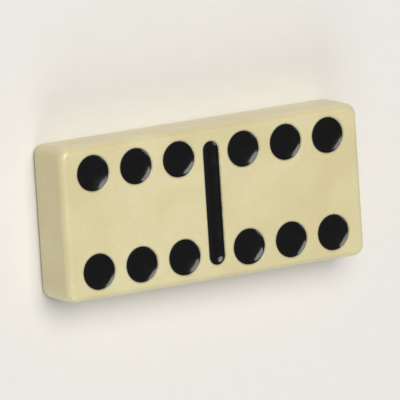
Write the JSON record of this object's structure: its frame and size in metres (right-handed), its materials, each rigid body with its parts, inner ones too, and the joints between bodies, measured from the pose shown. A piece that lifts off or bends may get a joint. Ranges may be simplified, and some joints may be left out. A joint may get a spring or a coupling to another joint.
{
  "type": "domino tile",
  "caption": "Oblong double-six domino tile in ivory-coloured moulded resin with dished pips and a centre bar filled with black enamel.",
  "frame": {"origin": "middle of the tile's plain back, which is the face it rests on", "axes": "+X along the tile's length, +Y across its width, +Z out of the face that carries the pips"},
  "size_m": [0.038, 0.017, 0.006],
  "materials": {
    "ivory_resin": "satin",
    "black_enamel": "gloss"
  },
  "bodies": {
    "root": {"tile_body": "ivory_resin", "centre_bar": "black_enamel", "pip_left_front_inner": "black_enamel", "pip_left_front_middle": "black_enamel", "pip_left_front_outer": "black_enamel", "pip_left_back_inner": "black_enamel", "pip_left_back_middle": "black_enamel", "pip_left_back_outer": "black_enamel", "pip_right_front_inner": "black_enamel", "pip_right_front_middle": "black_enamel", "pip_right_front_outer": "black_enamel", "pip_right_back_inner": "black_enamel", "pip_right_back_middle": "black_enamel", "pip_right_back_outer": "black_enamel"}
  },
  "joints": []
}
